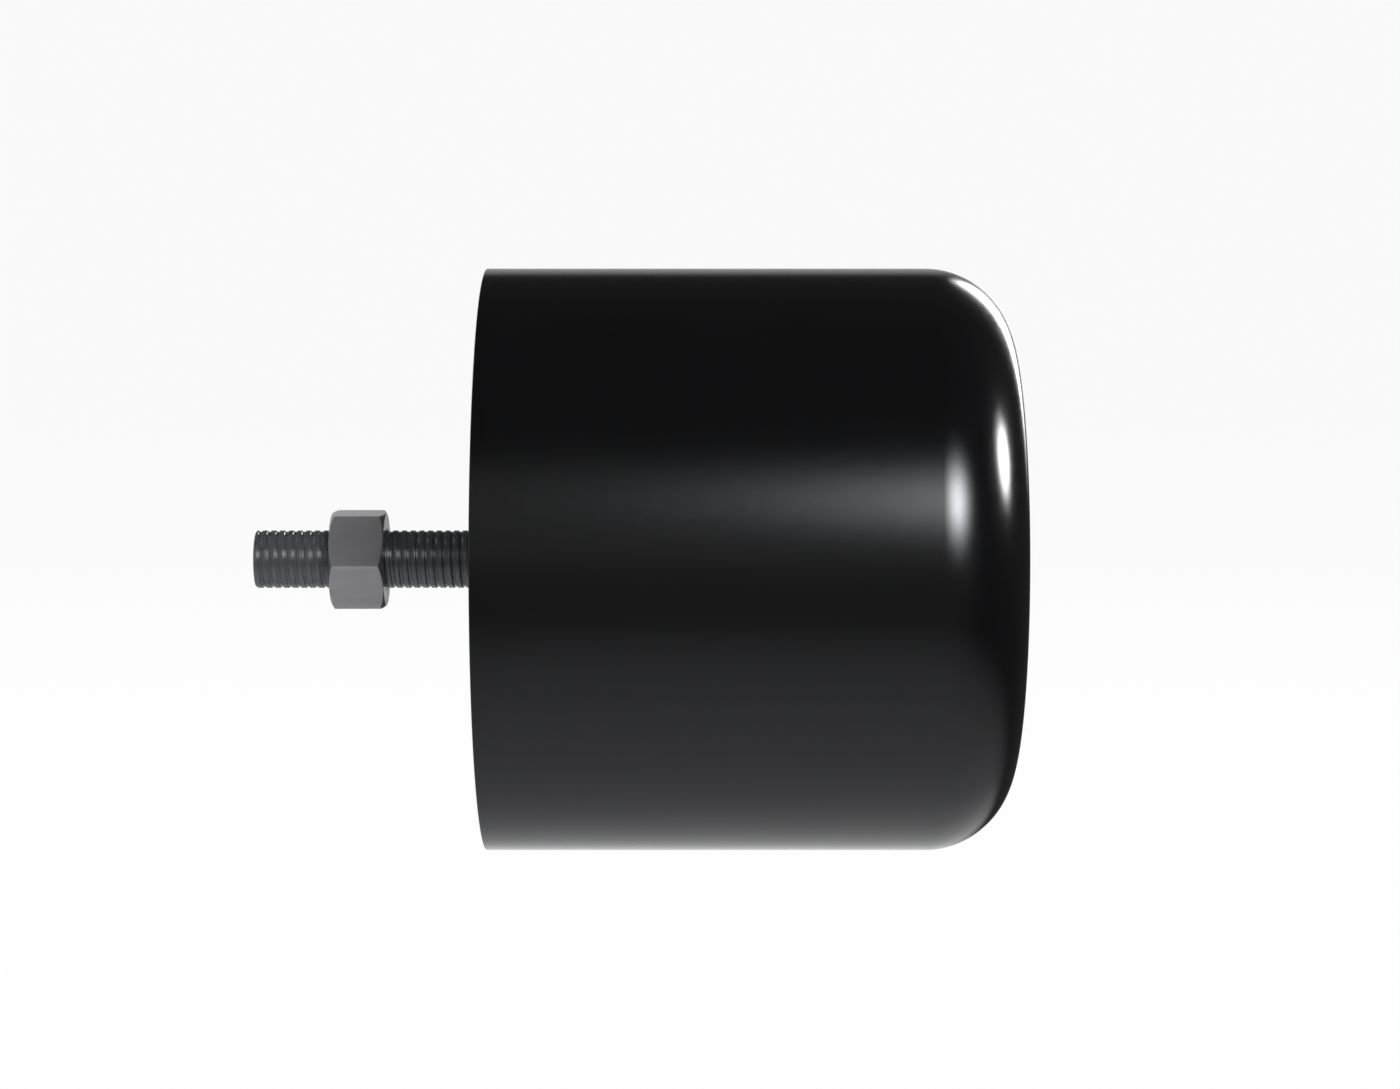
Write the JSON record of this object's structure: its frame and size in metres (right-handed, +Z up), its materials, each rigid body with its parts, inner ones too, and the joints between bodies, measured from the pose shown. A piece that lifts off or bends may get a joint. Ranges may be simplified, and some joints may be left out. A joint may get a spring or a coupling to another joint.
{
  "type": "polyurethane buffer",
  "caption": "Cylindrical polyurethane buffer with a flat back and a broadly rounded nose, fixed by a threaded steel stud and a hexagon nut.",
  "frame": {"origin": "centre of the flat back face of the urethane, where the stud comes out of it", "axes": "+X along the buffer's axis from the stud towards the nose, +Z up, +Y away from a viewer who has the stud on the left"},
  "size_m": [0.13, 0.1, 0.1],
  "materials": {
    "urethane": "gloss",
    "plate_steel": "matte",
    "stud_steel": "satin",
    "nut_steel": "satin"
  },
  "bodies": {
    "buffer": {"buffer_body": "urethane", "anchor_plate": "plate_steel", "threaded_stud": "stud_steel"},
    "nut": {"hex_nut": "nut_steel"}
  },
  "joints": [
    {"name": "nut_travel", "type": "slide", "parent": "buffer", "child": "nut", "axis": [1, 0, 0], "range_m": [-0.012, 0.0165]}
  ]
}
